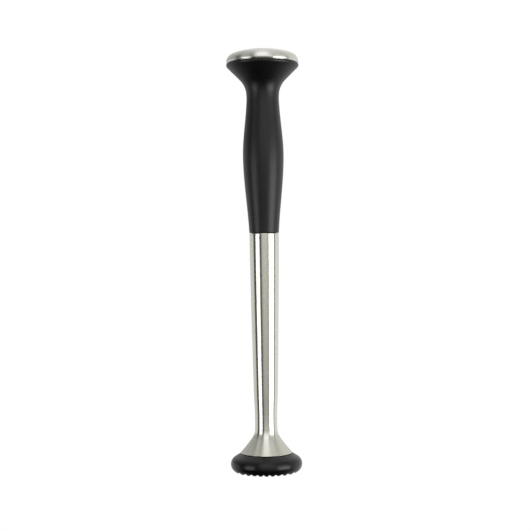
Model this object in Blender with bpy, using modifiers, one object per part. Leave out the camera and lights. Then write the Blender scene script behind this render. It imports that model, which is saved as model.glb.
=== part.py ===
"""Muddler: a hand masher with a toothed head, a steel shaft, a soft grip and a steel cap.

Frame: metres, +Z up along the tool's axis, origin at the centre of the plane of the tooth tips,
on which the tool stands. X and Y run along the rows of teeth. Every piece is a turned one, apart
from the head's teeth and ribs, the nut's hexagon and the slots in the cap carrier's plug.
"""

import math

import bmesh
import bpy

MM = 0.001

# --- Lengths along the axis, from the tooth tips up -------------------------------------------
HEAD_HEIGHT = 10.25 * MM      # tooth tips to the seat of the shaft's rim
SHAFT_LENGTH = 119.15 * MM    # rim of the bell to the lower lip of the grip
GRIP_LENGTH = 91.35 * MM      # lower lip to the top of the collar
CAP_BAND = 0.9 * MM           # straight band of the cap below its shoulder

# --- Clearances between neighbouring pieces ---------------------------------------------------
SEAM = 0.3 * MM               # where one piece rests on the next
FIT = 0.3 * MM                # round a piece that sits inside another
THREAD_GAP = 0.2 * MM         # between plain cylinders that stand for mating threads

# --- Head ---------------------------------------------------------------------------------------
HEAD_RADIUS = 19.35 * MM
HEAD_ROUND = 4.6 * MM         # rounding of the head's edge
HEAD_SLOPE_FROM = 55          # degrees round the edge at which the upper slope starts
HEAD_LEDGE = 0.2 * MM         # how far the head's top edge stands out past the shaft's rim
SPIGOT_RISE = 4.0 * MM        # height of the head's spigot above the seat
SPIGOT_WALL = 1.5 * MM
FLOOR_THICKNESS = 3.2 * MM    # nylon between the grooves' roots and the pocket
RIB_COUNT = 6
RIB_THICKNESS = 1.2 * MM
RIB_DROP = 2.0 * MM           # top of the ribs below the top of the spigot

# --- Teeth --------------------------------------------------------------------------------------
TOOTH_PITCH = 3.22 * MM
TOOTH_HEIGHT = 1.2 * MM
TOOTH_TIP = 0.9 * MM          # width of the flat on each tooth
GROOVE_ROOT = 0.5 * MM        # width of the flat at the bottom of each groove

# --- Shaft --------------------------------------------------------------------------------------
BELL_RADIUS = 14.1 * MM
SHAFT_TOP_RADIUS = 7.93 * MM
WAIST_RADIUS = 6.06 * MM
SHAFT_WALL = 1.2 * MM
WAIST_RISE = 13.4 * MM        # waist above the bell's rim
BELL_MIDDLE_RISE = 8.5 * MM
BELL_MIDDLE_RADIUS = 7.4 * MM
BELL_RIM_SLOPE = -0.90        # change of radius with height
BELL_MIDDLE_SLOPE = -0.66
TAPER_FOOT_SLOPE = 0.021
TAPER_TOP_SLOPE = 0.008

# --- Tie rod and its fasteners (M5) -------------------------------------------------------------
ROD_RADIUS = 2.35 * MM
ROD_CHAMFER = 0.6 * MM
ROD_TOP_STAND = 2.0 * MM      # rod above the nut
INSERT_WALL = 1.1 * MM
INSERT_LENGTH = 7.5 * MM
INSERT_GROOVE = 0.35 * MM
BOSS_WALL = 1.6 * MM
NUT_WALL = 1.45 * MM          # from the thread to a flat
NUT_HEIGHT = 3.6 * MM
NUT_BEVEL = 0.3 * MM
NUT_COLLAR_HEIGHT = 1.6 * MM  # round collar of the nut that holds the locking ring
NUT_COLLAR_WALL = 0.5 * MM
LOCK_RING_WALL = 0.65 * MM
LOCK_RING_HEIGHT = 1.1 * MM
LOCK_RING_GAP = 0.2 * MM      # between the locking ring and the nut's collar
WASHER_THICKNESS = 1.0 * MM
WASHER_WIDTH = 2.45 * MM      # from its hole to its edge

# --- Seals --------------------------------------------------------------------------------------
SEAL_THICKNESS = 1.5 * MM
SEAL_GAP = 0.15 * MM          # left round each seal in its groove
LOWER_SEAL_RISE = 1.9 * MM    # centre of the lower seal above the bell's rim
UPPER_SEAL_DROP = 5.0 * MM    # centre of the upper seal below the shaft's top

# --- Handle core --------------------------------------------------------------------------------
CORE_SPIGOT_LENGTH = 24.0 * MM
CORE_FLOOR = 5.0 * MM         # floor of the core's pocket above the shaft's top
CORE_POCKET_CLEAR = 0.6 * MM  # round the washer, which goes in from the top
CORE_FLANGE_INSET = 2.2 * MM  # radius of the collar less radius of the core's flange
ROD_HOLE_CLEAR = 0.45 * MM    # round the rod in the core

# --- Grip ---------------------------------------------------------------------------------------
GRIP_LIP_STEP = 0.09 * MM     # how far the lip stands out past the shaft
GRIP_LIP_SLOPE = 0.05
GRIP_BULGE_RADIUS = 11.05 * MM
GRIP_BULGE_RISE = 42.25 * MM  # widest place of the barrel above the lower lip
GRIP_NECK_RADIUS = 8.82 * MM
COLLAR_RADIUS = 19.6 * MM
COLLAR_ROUND = 1.5 * MM
COLLAR_BAND = 0.55 * MM        # straight band of the collar above its rounding
NECK_FILLET = 12.7 * MM
CONE_ANGLE = 45               # degrees, underside of the collar
LIP_THICKNESS = 0.6 * MM      # soft layer at the lower lip
SKIN_THICKNESS = 1.5 * MM     # soft layer at the neck and over the collar
BARREL_THICKNESS = 2.4 * MM   # soft layer at the bulge

# --- Cap ----------------------------------------------------------------------------------------
CAP_INSET = 0.1 * MM          # radius of the collar less radius of the cap
CAP_SHOULDER = 4.5 * MM       # rounding between the band and the dome
CAP_DOME_RADIUS = 54.0 * MM
CAP_SHEET = 0.8 * MM
CAP_CURL = 2.2 * MM           # rim turned in under the carrier
PLUG_LENGTH = 12.0 * MM
PLUG_WALL = 1.9 * MM
PLUG_CROWN = 2.6 * MM         # solid top of the plug above its bore
PLUG_SLOT = 1.4 * MM
PLUG_SLOT_LENGTH = 8.0 * MM
SNAP_BEAD = 0.45 * MM
SNAP_RISE = 2.6 * MM          # bead above the plug's end
CARRIER_HUB_WALL = 2.7 * MM   # from the plug out to the carrier's ring-shaped pocket
CARRIER_RIM_WALL = 1.2 * MM   # from the pocket out to the cap's curled rim
CARRIER_POCKET_DEPTH = 2.6 * MM
CARRIER_POCKET_DRAFT = 0.3 * MM

# --- Fineness of the solids ---------------------------------------------------------------------
OUTER_STEPS = 32
INNER_STEPS = 24
SEAL_STEPS = 8
CUTTER_OVERSHOOT = 2.0 * MM
JOIN_DEPTH = 0.5 * MM         # how far a rib reaches into the floor under it
NEAR = 0.05 * MM              # outline points closer than this to a corner are left out

# --- Radii that follow from the sizes above -----------------------------------------------------
THREAD_BORE = ROD_RADIUS + THREAD_GAP
INSERT_RADIUS = THREAD_BORE + INSERT_WALL
WASHER_RADIUS = THREAD_BORE + WASHER_WIDTH
CORE_POCKET_RADIUS = WASHER_RADIUS + CORE_POCKET_CLEAR
PLUG_RADIUS = CORE_POCKET_RADIUS - FIT
CAP_RADIUS = COLLAR_RADIUS - CAP_INSET
CAP_CURL_RADIUS = CAP_RADIUS - CAP_SHEET - CAP_CURL
GRIP_LIP_RADIUS = SHAFT_TOP_RADIUS + GRIP_LIP_STEP

# --- Heights that follow from the lengths above -------------------------------------------------
HEAD_FLOOR = TOOTH_HEIGHT + FLOOR_THICKNESS
BELL_RIM_Z = HEAD_HEIGHT + SEAM
GRIP_Z = BELL_RIM_Z + SHAFT_LENGTH
SHAFT_TOP_Z = GRIP_Z - SEAM
COLLAR_TOP_Z = GRIP_Z + GRIP_LENGTH
CAP_Z = COLLAR_TOP_Z + SEAM
POCKET_FLOOR_Z = SHAFT_TOP_Z + CORE_FLOOR
WASHER_Z = POCKET_FLOOR_Z + SEAM
NUT_Z = WASHER_Z + WASHER_THICKNESS + SEAM
NUT_SHOULDER_Z = NUT_Z + NUT_HEIGHT
NUT_TOP_Z = NUT_SHOULDER_Z + NUT_COLLAR_HEIGHT
CORE_TOP_Z = COLLAR_TOP_Z - SEAM
CARRIER_Z = CORE_TOP_Z + SEAM


# ------------------------------------------------------------------------------------------------
# Outlines: lists of (radius, height)
# ------------------------------------------------------------------------------------------------

def arc(centre, radius, start, end, pieces):
    """Points from angle start to angle end, in degrees from +radius towards +height."""
    points = []
    for i in range(pieces + 1):
        angle = math.radians(start + (end - start) * i / pieces)
        points.append((centre[0] + radius * math.cos(angle), centre[1] + radius * math.sin(angle)))
    return points


def sweep(low, high, pieces):
    """Points of a cubic between two (radius, height, slope) nodes, where slope is d radius / d height."""
    (r0, z0, s0), (r1, z1, s1) = low, high
    span = z1 - z0
    points = []
    for i in range(pieces + 1):
        t = i / pieces
        radius = (
            (2 * t**3 - 3 * t**2 + 1) * r0
            + (t**3 - 2 * t**2 + t) * span * s0
            + (3 * t**2 - 2 * t**3) * r1
            + (t**3 - t**2) * span * s1
        )
        points.append((radius, z0 + span * t))
    return points


def chained(*runs):
    """One outline from several runs, with the points that repeat at their ends dropped."""
    points = []
    for run in runs:
        for point in run:
            if not points or math.dist(point, points[-1]) > 0.01 * MM:
                points.append(point)
    return points


def inset(outline, distance):
    """The outline moved inwards, towards the axis, by distance. A function of height may give it."""
    moved = []
    for i, (r, z) in enumerate(outline):
        before = outline[max(i - 1, 0)]
        after = outline[min(i + 1, len(outline) - 1)]
        dr, dz = after[0] - before[0], after[1] - before[1]
        length = math.hypot(dr, dz)
        amount = distance(z) if callable(distance) else distance
        moved.append((r - amount * dz / length, z + amount * dr / length))
    return moved


def radius_at(outline, height):
    """Radius of a rising outline at a height, carried on past its ends along its end pieces."""
    for (r0, z0), (r1, z1) in zip(outline, outline[1:]):
        if height <= z1:
            break
    return r0 + (r1 - r0) * (height - z0) / (z1 - z0)


def cropped(outline, low, high):
    """The part of a rising outline between two heights, with points exactly at both."""
    inside = [(r, z) for r, z in outline if low + NEAR < z < high - NEAR]
    return [(radius_at(outline, low), low), *inside, (radius_at(outline, high), high)]


def shaft_outline():
    """The shaft's outside, from the bell's rim up to the grip."""
    rim = (BELL_RADIUS, BELL_RIM_Z, BELL_RIM_SLOPE)
    middle = (BELL_MIDDLE_RADIUS, BELL_RIM_Z + BELL_MIDDLE_RISE, BELL_MIDDLE_SLOPE)
    waist = (WAIST_RADIUS, BELL_RIM_Z + WAIST_RISE, 0)
    foot = (WAIST_RADIUS, BELL_RIM_Z + WAIST_RISE, TAPER_FOOT_SLOPE)
    top = (SHAFT_TOP_RADIUS, SHAFT_TOP_Z, TAPER_TOP_SLOPE)
    return chained(sweep(rim, middle, 4), sweep(middle, waist, 4), sweep(foot, top, 5))


def collar_rim():
    """The rim of the grip's collar: round from the end of the cone, then straight up to its top."""
    centre = (COLLAR_RADIUS - COLLAR_ROUND, COLLAR_TOP_Z - COLLAR_BAND)
    return [*arc(centre, COLLAR_ROUND, -CONE_ANGLE, 0, 3), (COLLAR_RADIUS, COLLAR_TOP_Z)]


def grip_body():
    """The grip's outside from the lower lip over bulge and neck to the cone under the collar."""
    lean = math.radians(CONE_ANGLE)
    cone_top = collar_rim()[0]
    cone_foot_radius = GRIP_NECK_RADIUS + NECK_FILLET * (1 - math.cos(lean))
    cone_height = (cone_top[0] - cone_foot_radius) / math.tan(lean)
    neck_z = cone_top[1] - cone_height - NECK_FILLET * math.sin(lean)
    lip = (GRIP_LIP_RADIUS, GRIP_Z, GRIP_LIP_SLOPE)
    bulge = (GRIP_BULGE_RADIUS, GRIP_Z + GRIP_BULGE_RISE, 0)
    neck = (GRIP_NECK_RADIUS, neck_z, 0)
    fillet = arc((GRIP_NECK_RADIUS + NECK_FILLET, neck_z), NECK_FILLET, 180, 180 - CONE_ANGLE, 4)
    return chained(sweep(lip, bulge, 5), sweep(bulge, neck, 5), fillet)


def skin_thickness(height):
    """Thickness of the soft layer: thin at the lower lip, thick at the bulge, even above the neck."""
    rise = height - GRIP_Z
    if rise < GRIP_BULGE_RISE:
        share = max(rise / GRIP_BULGE_RISE, 0)
        return LIP_THICKNESS + (BARREL_THICKNESS - LIP_THICKNESS) * math.sin(share * math.pi / 2)
    fall = min((rise - GRIP_BULGE_RISE) / (GRIP_LENGTH - GRIP_BULGE_RISE) * 2, 1)
    return BARREL_THICKNESS + (SKIN_THICKNESS - BARREL_THICKNESS) * fall


def grip_inside(gap):
    """A face inside the soft layer, moved in by gap, from the lip to the edge of the core's flange."""
    body = grip_body()
    face = inset([*body, collar_rim()[0]], lambda z: skin_thickness(z) + gap)[: len(body)]
    face = cropped(face, GRIP_Z, face[-1][1])
    edge = COLLAR_RADIUS - CORE_FLANGE_INSET - gap
    edge_z = face[-1][1] + (edge - face[-1][0]) / math.tan(math.radians(CONE_ANGLE))
    return [*face, (edge, edge_z)]


def cap_outline(depth):
    """The cap's outside, moved in by depth, from the band's foot up over the shoulder to the axis."""
    shoulder = (CAP_RADIUS - CAP_SHOULDER, CAP_Z + CAP_BAND)
    reach = CAP_DOME_RADIUS - CAP_SHOULDER
    dome_z = shoulder[1] - math.sqrt(reach**2 - shoulder[0] ** 2)
    meet = math.degrees(math.acos(shoulder[0] / reach))
    band = (CAP_RADIUS - depth, CAP_Z)
    edge = arc(shoulder, CAP_SHOULDER - depth, 0, meet, 5)
    dome = arc((0, dome_z), CAP_DOME_RADIUS - depth, meet, 90, 4)
    return chained([band], edge, dome[:-1]) + [(0, dome_z + CAP_DOME_RADIUS - depth)]


# ------------------------------------------------------------------------------------------------
# Making objects
# ------------------------------------------------------------------------------------------------

def clear_scene():
    for obj in list(bpy.data.objects):
        bpy.data.objects.remove(obj)


def new_collection(name, hidden=False):
    collection = bpy.data.collections.new(name)
    collection.hide_render = hidden
    bpy.context.scene.collection.children.link(collection)
    return collection


def material(name, colour, roughness, metallic=0.0):
    made = bpy.data.materials.new(name)
    made.use_nodes = True
    shader = made.node_tree.nodes["Principled BSDF"]
    shader.inputs["Base Color"].default_value = (*colour, 1)
    shader.inputs["Roughness"].default_value = roughness
    shader.inputs["Metallic"].default_value = metallic
    return made


def add_object(name, mesh, collection, finish=None):
    obj = bpy.data.objects.new(name, mesh)
    collection.objects.link(obj)
    if finish:
        mesh.materials.append(finish)
    return obj


def turned(name, outline, collection, finish, steps, ring):
    """A turned piece. The outline runs down the outer side; ring closes it round a bore."""
    mesh = bpy.data.meshes.new(name)
    edges = [(i, i + 1) for i in range(len(outline) - 1)]
    if ring:
        edges.append((len(outline) - 1, 0))
    mesh.from_pydata([(r, 0, z) for r, z in outline], edges, [])
    obj = add_object(name, mesh, collection, finish)
    screw = obj.modifiers.new("turn", "SCREW")
    screw.steps = steps
    screw.render_steps = steps
    screw.use_merge_vertices = True
    screw.merge_threshold = 0.00001
    screw.use_smooth_shade = True
    return obj


def boolean(obj, operation, other):
    modifier = obj.modifiers.new(operation.lower(), "BOOLEAN")
    modifier.operation = operation
    modifier.object = other


def as_cutter(obj):
    obj.hide_render = True
    obj.display_type = "WIRE"
    return obj


def mesh_from(name, fill, collection):
    """An object whose mesh is made by fill(bm)."""
    bm = bmesh.new()
    fill(bm)
    mesh = bpy.data.meshes.new(name)
    bm.to_mesh(mesh)
    bm.free()
    return add_object(name, mesh, collection)


def add_box(bm, size, centre, turn=0.0):
    """A box of the given size in a mesh, turned about Z and then moved to centre."""
    made = bmesh.ops.create_cube(bm, size=1)["verts"]
    bmesh.ops.scale(bm, vec=size, verts=made)
    cos, sin = math.cos(turn), math.sin(turn)
    for vertex in made:
        x, y, z = vertex.co
        vertex.co = (x * cos - y * sin + centre[0], x * sin + y * cos + centre[1], z + centre[2])


# ------------------------------------------------------------------------------------------------
# The pieces
# ------------------------------------------------------------------------------------------------

def seal_seat(outline, height, wall):
    """Where a seal lies: its centre's (radius, height) against the inside of a shell."""
    centres = inset(outline, wall + SEAL_GAP + SEAL_THICKNESS / 2)
    return (radius_at(centres, height), height)


def grooved(face, centre):
    """A rising face with the square groove of a seal cut in it."""
    half = SEAL_THICKNESS / 2 + SEAL_GAP
    floor = centre[0] - half
    bottom, top = centre[1] - half, centre[1] + half
    below = [(r, z) for r, z in face if z < bottom - NEAR]
    above = [(r, z) for r, z in face if z > top + NEAR]
    edge_low = (radius_at(face, bottom), bottom)
    edge_high = (radius_at(face, top), top)
    return [*below, edge_low, (floor, bottom), (floor, top), edge_high, *above]


def make_seal(name, centre, collection, finish):
    bpy.ops.mesh.primitive_torus_add(
        major_segments=INNER_STEPS,
        minor_segments=SEAL_STEPS,
        major_radius=centre[0],
        minor_radius=SEAL_THICKNESS / 2,
    )
    obj = bpy.context.object
    obj.name = name
    obj.location.z = centre[1]
    obj.data.materials.append(finish)
    obj.data.shade_smooth()
    for other in list(obj.users_collection):
        other.objects.unlink(obj)
    collection.objects.link(obj)


def lower_seal_centre():
    return seal_seat(shaft_outline(), BELL_RIM_Z + LOWER_SEAL_RISE, SHAFT_WALL)


def upper_seal_centre():
    return seal_seat(shaft_outline(), SHAFT_TOP_Z - UPPER_SEAL_DROP, SHAFT_WALL)


def grooves_cutter(name, along_x, collection):
    """Parallel V grooves right across the head's underside, along X or along Y."""
    span = HEAD_RADIUS + CUTTER_OVERSHOOT
    half_count = int((HEAD_RADIUS - HEAD_ROUND) / TOOTH_PITCH + 0.5)
    half_mouth = (TOOTH_PITCH - TOOTH_TIP) / 2
    half_root = GROOVE_ROOT / 2
    widen = (half_mouth - half_root) / TOOTH_HEIGHT
    below = CUTTER_OVERSHOOT
    section = [
        (-half_root, TOOTH_HEIGHT),
        (half_root, TOOTH_HEIGHT),
        (half_mouth + widen * below, -below),
        (-half_mouth - widen * below, -below),
    ]

    def fill(bm):
        for k in range(-half_count, half_count):
            middle = (k + 0.5) * TOOTH_PITCH
            ends = []
            for end in (-span, span):
                corners = [(end, middle + s, z) if along_x else (middle + s, end, z) for s, z in section]
                ends.append([bm.verts.new(corner) for corner in corners])
            bm.faces.new(ends[0])
            bm.faces.new(ends[1])
            for i in range(4):
                j = (i + 1) % 4
                bm.faces.new((ends[0][i], ends[0][j], ends[1][j], ends[1][i]))
        bmesh.ops.recalc_face_normals(bm, faces=bm.faces)

    return as_cutter(mesh_from(name, fill, collection))


def make_head(collection, cutters, finish):
    """The nylon head: toothed underside, round edge, spigot, ribbed pocket and boss."""
    rim = arc((HEAD_RADIUS - HEAD_ROUND, HEAD_ROUND), HEAD_ROUND, HEAD_SLOPE_FROM, -90, 9)
    seat = (BELL_RADIUS + HEAD_LEDGE, HEAD_HEIGHT)
    bell_inside = inset(shaft_outline(), SHAFT_WALL + FIT)
    spigot_top = BELL_RIM_Z + SPIGOT_RISE
    face = grooved(cropped(bell_inside, HEAD_HEIGHT, spigot_top), lower_seal_centre())
    insert_hole = INSERT_RADIUS + FIT
    boss_radius = insert_hole + BOSS_WALL
    wall_inside = radius_at(bell_inside, spigot_top) - SPIGOT_WALL
    outline = [
        (0, HEAD_FLOOR),
        (insert_hole, HEAD_FLOOR),
        (insert_hole, spigot_top),
        (boss_radius, spigot_top),
        (boss_radius, HEAD_FLOOR),
        (wall_inside, HEAD_FLOOR),
        (wall_inside, spigot_top),
        *reversed(face),
        seat,
        *rim,
        (0, 0),
    ]
    head = turned("head", outline, collection, finish, OUTER_STEPS, ring=False)

    rib_reach = wall_inside + SPIGOT_WALL / 2
    rib_start = insert_hole + BOSS_WALL / 2
    rib_top = spigot_top - RIB_DROP
    rib_foot = HEAD_FLOOR - JOIN_DEPTH

    def fill(bm):
        for k in range(RIB_COUNT):
            turn = 2 * math.pi * (k + 0.5) / RIB_COUNT
            middle = (rib_start + rib_reach) / 2
            centre = (middle * math.cos(turn), middle * math.sin(turn), (rib_top + rib_foot) / 2)
            add_box(bm, (rib_reach - rib_start, RIB_THICKNESS, rib_top - rib_foot), centre, turn)

    boolean(head, "UNION", as_cutter(mesh_from("head_ribs", fill, cutters)))
    boolean(head, "DIFFERENCE", grooves_cutter("grooves_along_x", True, cutters))
    boolean(head, "DIFFERENCE", grooves_cutter("grooves_along_y", False, cutters))


def make_head_insert(collection, finish):
    """Brass threaded insert, moulded into the head's boss, with a retaining groove round it."""
    foot = HEAD_FLOOR + SEAM
    top = foot + INSERT_LENGTH
    waist = INSERT_RADIUS - INSERT_GROOVE
    third = INSERT_LENGTH / 3
    outline = [
        (THREAD_BORE, top),
        (INSERT_RADIUS, top),
        (INSERT_RADIUS, top - third),
        (waist, top - third),
        (waist, foot + third),
        (INSERT_RADIUS, foot + third),
        (INSERT_RADIUS, foot),
        (THREAD_BORE, foot),
    ]
    turned("head_insert", outline, collection, finish, INNER_STEPS, ring=True)


def make_shaft(collection, finish):
    """The steel shaft: one spun shell with a tapered barrel and a bell, open at both ends."""
    outside = shaft_outline()
    inside = cropped(inset(outside, SHAFT_WALL), BELL_RIM_Z, SHAFT_TOP_Z)
    turned("shaft", [*reversed(outside), *inside], collection, finish, OUTER_STEPS, ring=True)


def make_tie_rod(collection, finish):
    foot = HEAD_FLOOR + 2 * SEAM
    top = NUT_TOP_Z + ROD_TOP_STAND
    tip = ROD_RADIUS - ROD_CHAMFER
    outline = [
        (0, top),
        (tip, top),
        (ROD_RADIUS, top - ROD_CHAMFER),
        (ROD_RADIUS, foot + ROD_CHAMFER),
        (tip, foot),
        (0, foot),
    ]
    turned("tie_rod", outline, collection, finish, INNER_STEPS, ring=False)


def make_washer(collection, finish):
    outline = [
        (THREAD_BORE, WASHER_Z + WASHER_THICKNESS),
        (WASHER_RADIUS, WASHER_Z + WASHER_THICKNESS),
        (WASHER_RADIUS, WASHER_Z),
        (THREAD_BORE, WASHER_Z),
    ]
    turned("rod_washer", outline, collection, finish, INNER_STEPS, ring=True)


def make_nut(collection, cutters, finish):
    """Hexagon lock nut: a hexagonal prism, a round collar, and a bore stepped for the ring."""
    seat = THREAD_BORE + LOCK_RING_WALL + LOCK_RING_GAP
    collar = seat + NUT_COLLAR_WALL
    corner = (THREAD_BORE + NUT_WALL) / math.cos(math.pi / 6)
    outline = [
        (THREAD_BORE, NUT_SHOULDER_Z),
        (seat, NUT_SHOULDER_Z),
        (seat, NUT_TOP_Z),
        (collar, NUT_TOP_Z),
        (collar, NUT_SHOULDER_Z),
        (corner - 2 * NUT_BEVEL, NUT_SHOULDER_Z),
        (corner, NUT_SHOULDER_Z - NUT_BEVEL),
        (corner, NUT_Z + NUT_BEVEL),
        (corner - 2 * NUT_BEVEL, NUT_Z),
        (THREAD_BORE, NUT_Z),
    ]
    nut = turned("rod_nut", outline, collection, finish, INNER_STEPS, ring=True)

    def fill(bm):
        height = NUT_TOP_Z - NUT_Z + 2 * CUTTER_OVERSHOOT
        bmesh.ops.create_cone(
            bm, cap_ends=True, segments=6, radius1=corner, radius2=corner, depth=height
        )
        bmesh.ops.translate(bm, verts=bm.verts, vec=(0, 0, (NUT_Z + NUT_TOP_Z) / 2))

    boolean(nut, "INTERSECT", as_cutter(mesh_from("nut_hexagon", fill, cutters)))


def make_lock_ring(collection, finish):
    foot = NUT_SHOULDER_Z + SEAM
    outline = [
        (THREAD_BORE, foot + LOCK_RING_HEIGHT),
        (THREAD_BORE + LOCK_RING_WALL, foot + LOCK_RING_HEIGHT),
        (THREAD_BORE + LOCK_RING_WALL, foot),
        (THREAD_BORE, foot),
    ]
    turned("nut_lock_ring", outline, collection, finish, INNER_STEPS, ring=True)


def make_core(collection, finish):
    """The rigid core: a spigot down the shaft, a shoulder on its rim, a barrel and a top flange."""
    spigot_foot = SHAFT_TOP_Z - CORE_SPIGOT_LENGTH
    bore_inside = inset(shaft_outline(), SHAFT_WALL + FIT)
    spigot = grooved(cropped(bore_inside, spigot_foot, GRIP_Z), upper_seal_centre())
    barrel = grip_inside(FIT)
    rod_hole = ROD_RADIUS + ROD_HOLE_CLEAR
    groove_z = CARRIER_Z - PLUG_LENGTH + SNAP_RISE
    groove = CORE_POCKET_RADIUS + SNAP_BEAD
    outline = [
        (rod_hole, POCKET_FLOOR_Z),
        (CORE_POCKET_RADIUS, POCKET_FLOOR_Z),
        (CORE_POCKET_RADIUS, groove_z - 2 * SNAP_BEAD),
        (groove, groove_z - SNAP_BEAD),
        (groove, groove_z + SNAP_BEAD),
        (CORE_POCKET_RADIUS, groove_z + 2 * SNAP_BEAD),
        (CORE_POCKET_RADIUS, CORE_TOP_Z),
        (barrel[-1][0], CORE_TOP_Z),
        *reversed(barrel),
        *reversed(spigot),
        (rod_hole, spigot_foot),
    ]
    turned("handle_core", outline, collection, finish, INNER_STEPS, ring=True)


def make_grip(collection, finish):
    """The soft sleeve moulded over the core, with a flared collar that wraps the core's flange."""
    outside = chained(grip_body(), collar_rim())
    inside = grip_inside(0)
    outline = [*reversed(outside), *inside, (inside[-1][0], COLLAR_TOP_Z)]
    turned("grip", outline, collection, finish, OUTER_STEPS, ring=True)


def make_carrier(collection, cutters, finish):
    """The plastic carrier: fills the dome, is held by its curled rim, and snaps into the core."""
    over_curl = CAP_RADIUS - CAP_SHEET - FIT
    in_curl = CAP_CURL_RADIUS - FIT
    step_z = CAP_Z + CAP_SHEET + SEAM
    dome = [(r, z) for r, z in cap_outline(CAP_SHEET + FIT) if z > step_z + NEAR]
    pocket_outer = in_curl - CARRIER_RIM_WALL
    pocket_inner = PLUG_RADIUS + CARRIER_HUB_WALL
    plug_foot = CARRIER_Z - PLUG_LENGTH
    bead_z = plug_foot + SNAP_RISE
    pocket_z = CARRIER_Z + CARRIER_POCKET_DEPTH
    outline = [
        *reversed(dome),
        (over_curl, step_z),
        (in_curl, step_z),
        (in_curl, CARRIER_Z),
        (pocket_outer, CARRIER_Z),
        (pocket_outer - CARRIER_POCKET_DRAFT, pocket_z),
        (pocket_inner + CARRIER_POCKET_DRAFT, pocket_z),
        (pocket_inner, CARRIER_Z),
        (PLUG_RADIUS, CARRIER_Z),
        (PLUG_RADIUS, bead_z + 2 * SNAP_BEAD),
        (PLUG_RADIUS + SNAP_BEAD, bead_z + SNAP_BEAD / 2),
        (PLUG_RADIUS + SNAP_BEAD, bead_z - SNAP_BEAD / 2),
        (PLUG_RADIUS, bead_z - 2 * SNAP_BEAD),
        (PLUG_RADIUS - SNAP_BEAD, plug_foot),
        (PLUG_RADIUS - PLUG_WALL, plug_foot),
        (PLUG_RADIUS - PLUG_WALL, CARRIER_Z - PLUG_CROWN),
        (0, CARRIER_Z - PLUG_CROWN),
    ]
    carrier = turned("cap_carrier", outline, collection, finish, INNER_STEPS, ring=False)

    reach = 2 * (PLUG_RADIUS + CUTTER_OVERSHOOT)
    height = PLUG_SLOT_LENGTH + CUTTER_OVERSHOOT
    middle = (0, 0, plug_foot + PLUG_SLOT_LENGTH - height / 2)
    for k in range(2):

        def fill(bm):
            add_box(bm, (reach, PLUG_SLOT, height), middle, turn=k * math.pi / 2)

        boolean(carrier, "DIFFERENCE", as_cutter(mesh_from(f"plug_slot_{k}", fill, cutters)))


def make_cap(collection, finish):
    """The pressed steel dome, with its rim turned in under the carrier."""
    curl_top = CAP_Z + CAP_SHEET
    corner = arc((CAP_RADIUS - CAP_SHEET, curl_top), CAP_SHEET, 0, -90, 2)
    outline = [
        *reversed([(r, z) for r, z in cap_outline(0) if z > curl_top]),
        *corner,
        (CAP_CURL_RADIUS, CAP_Z),
        (CAP_CURL_RADIUS, curl_top),
        *[(r, max(z, curl_top)) for r, z in cap_outline(CAP_SHEET)],
    ]
    turned("top_cap", chained(outline), collection, finish, OUTER_STEPS, ring=False)


def main():
    clear_scene()
    parts = new_collection("Muddler")
    cutters = new_collection("Cutters", hidden=True)

    nylon = material("black_nylon", (0.016, 0.016, 0.018), 0.42)
    soft_black = material("soft_black_grip", (0.022, 0.022, 0.023), 0.62)
    rigid = material("grey_core_plastic", (0.10, 0.10, 0.105), 0.50)
    brushed = material("brushed_steel", (0.66, 0.65, 0.61), 0.30, 1.0)
    satin = material("satin_steel", (0.68, 0.67, 0.64), 0.24, 1.0)
    zinc = material("zinc_plated_steel", (0.58, 0.59, 0.60), 0.35, 1.0)
    brass = material("brass", (0.72, 0.52, 0.24), 0.35, 1.0)
    seal = material("silicone_seal", (0.30, 0.30, 0.31), 0.55)
    ring = material("lock_ring_nylon", (0.55, 0.62, 0.70), 0.45)

    make_head(parts, cutters, nylon)
    make_head_insert(parts, brass)
    make_seal("lower_seal", lower_seal_centre(), parts, seal)
    make_shaft(parts, brushed)
    make_tie_rod(parts, zinc)
    make_seal("upper_seal", upper_seal_centre(), parts, seal)
    make_core(parts, rigid)
    make_washer(parts, zinc)
    make_nut(parts, cutters, zinc)
    make_lock_ring(parts, ring)
    make_grip(parts, soft_black)
    make_carrier(parts, cutters, rigid)
    make_cap(parts, satin)


main()
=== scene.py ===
"""Looks of the muddler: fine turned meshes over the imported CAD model, procedural materials, a white studio.

The outline of each turned piece is read from its CAD node, so the pieces keep their places and sizes. The
nut comes out wrong, as make_nut says.
"""

import math

import bmesh
import bpy
from mathutils import Matrix, Vector


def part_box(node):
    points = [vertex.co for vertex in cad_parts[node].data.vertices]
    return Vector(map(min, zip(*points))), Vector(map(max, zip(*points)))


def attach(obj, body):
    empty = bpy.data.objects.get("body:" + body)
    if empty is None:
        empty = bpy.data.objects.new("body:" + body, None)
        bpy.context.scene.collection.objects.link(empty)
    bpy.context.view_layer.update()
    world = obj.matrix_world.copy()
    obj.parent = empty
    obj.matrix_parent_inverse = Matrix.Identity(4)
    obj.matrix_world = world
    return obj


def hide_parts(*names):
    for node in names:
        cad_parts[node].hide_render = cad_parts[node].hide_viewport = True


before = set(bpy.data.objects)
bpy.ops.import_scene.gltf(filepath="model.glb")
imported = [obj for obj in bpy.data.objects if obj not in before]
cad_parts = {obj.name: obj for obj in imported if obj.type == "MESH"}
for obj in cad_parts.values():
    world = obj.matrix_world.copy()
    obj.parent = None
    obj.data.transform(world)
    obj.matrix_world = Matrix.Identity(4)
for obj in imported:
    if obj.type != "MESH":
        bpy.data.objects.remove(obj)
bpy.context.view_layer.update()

MM = 0.001
BODY = "root"

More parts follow.
